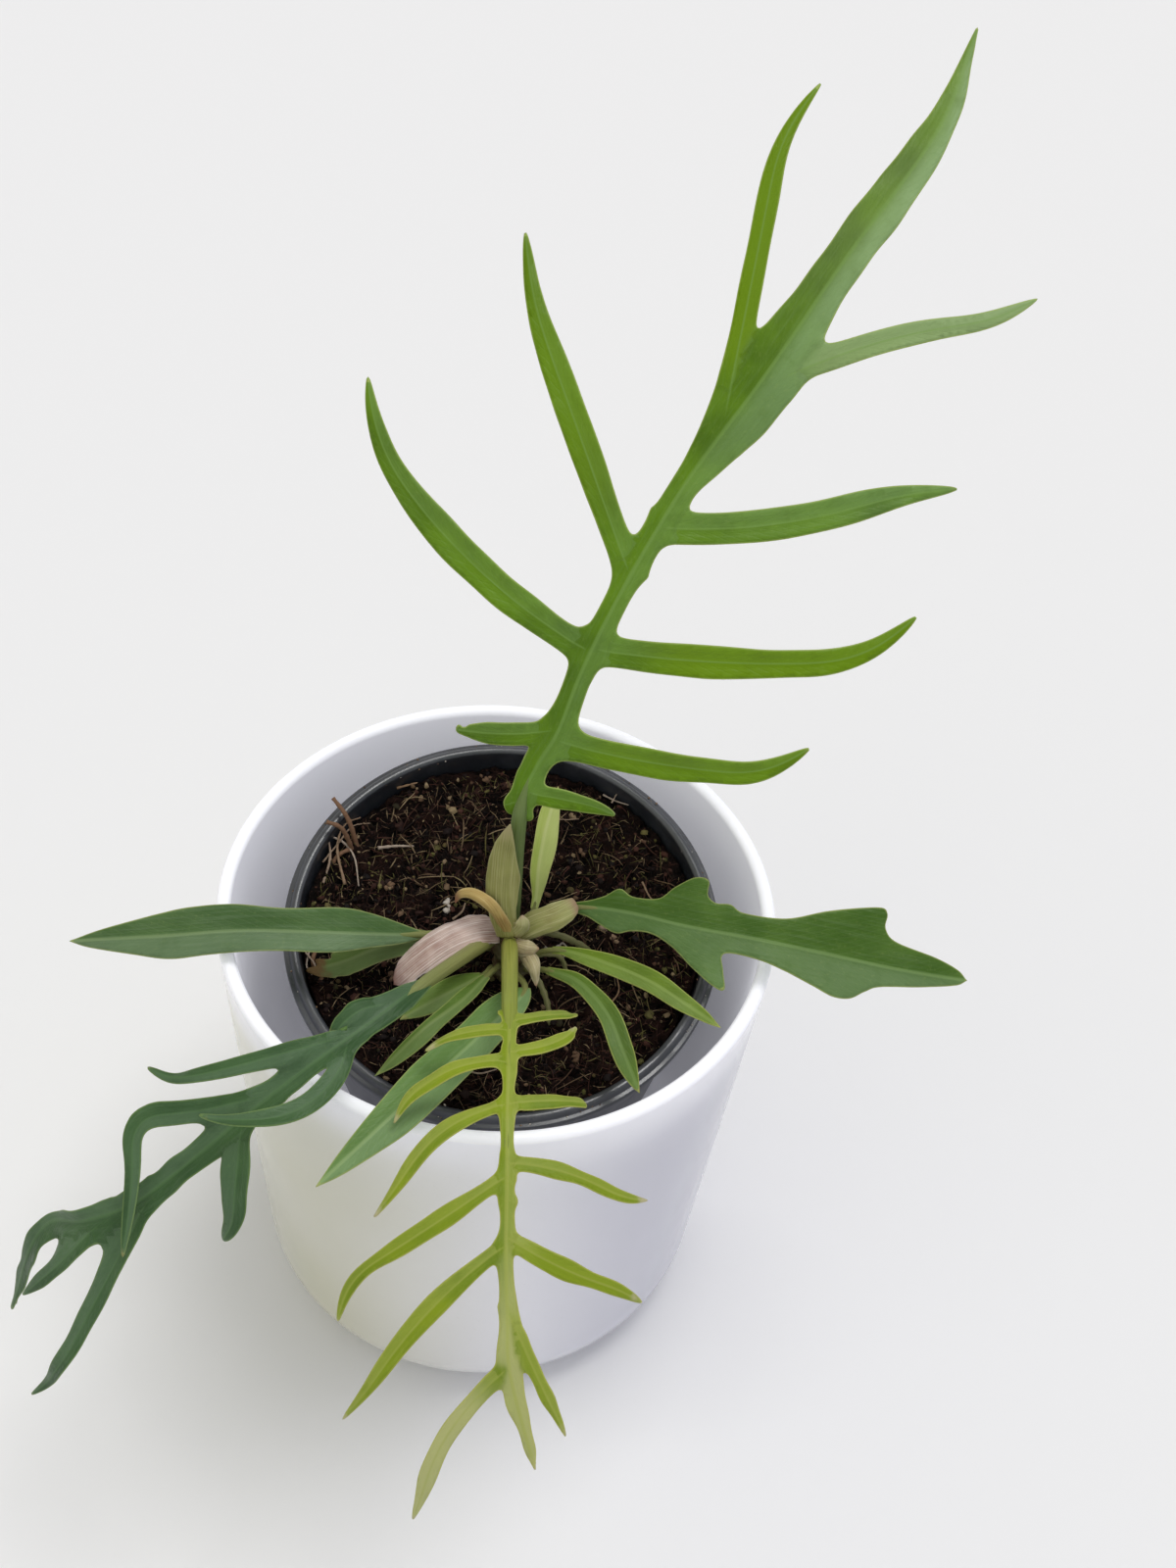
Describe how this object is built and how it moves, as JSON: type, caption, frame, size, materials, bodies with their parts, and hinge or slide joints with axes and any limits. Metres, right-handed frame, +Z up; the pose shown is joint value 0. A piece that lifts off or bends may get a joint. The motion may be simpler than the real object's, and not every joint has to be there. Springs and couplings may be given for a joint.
{
  "type": "potted philodendron",
  "caption": "Young philodendron with deeply cut, narrow-lobed leaves in a black grow pot that stands in a tapered white glazed pot.",
  "frame": {"origin": "middle of the white pot's flat underside, on the surface that it stands on", "axes": "+Z up through the white pot's mouth; -Y towards the side that the long hanging leaf comes over; +X to the right from there"},
  "size_m": [0.2521, 0.2903, 0.357],
  "materials": {
    "pot_glazed": "smooth white gloss glaze",
    "pot_grow": "black, slight sheen on the rim",
    "soil": "dark fibrous coir mix with pale straws",
    "stem_crown": "olive, with dark leaf scars",
    "leaf_cut_upright": "bright green with a pale midrib and thin yellow edge",
    "leaf_cut_front": "yellow-green with red-brown tips",
    "leaf_cut_left": "dark green, satin",
    "leaf_lance_left": "grey-green, satin",
    "leaf_worn_left": "green with a brown damaged tip",
    "leaf_narrow_front": "green, satin",
    "leaf_lance_front": "grey-green, satin",
    "leaf_narrow_low": "green, satin",
    "leaf_lance_right": "light green, satin",
    "leaf_curved_right": "green, satin",
    "leaf_pale_back": "pale yellow-green",
    "leaf_lobed_right": "grey-green, satin",
    "sheath_upright": "olive, finely lined",
    "sheath_curled": "yellow-brown, drying",
    "sheath_papery": "dry, papery, pink-grey with fine lines",
    "sheath_right": "olive, finely lined",
    "sheath_low": "olive, finely lined"
  },
  "bodies": {
    "root": {"pot_glazed": "pot_glazed", "pot_grow": "pot_grow", "soil": "soil", "stem_crown": "stem_crown", "leaf_cut_upright": "leaf_cut_upright", "leaf_cut_front": "leaf_cut_front", "leaf_cut_left": "leaf_cut_left", "leaf_lance_left": "leaf_lance_left", "leaf_worn_left": "leaf_worn_left", "leaf_narrow_front": "leaf_narrow_front", "leaf_lance_front": "leaf_lance_front", "leaf_narrow_low": "leaf_narrow_low", "leaf_lance_right": "leaf_lance_right", "leaf_curved_right": "leaf_curved_right", "leaf_pale_back": "leaf_pale_back", "leaf_lobed_right": "leaf_lobed_right", "sheath_upright": "sheath_upright", "sheath_curled": "sheath_curled", "sheath_papery": "sheath_papery", "sheath_right": "sheath_right", "sheath_low": "sheath_low"}
  },
  "joints": []
}
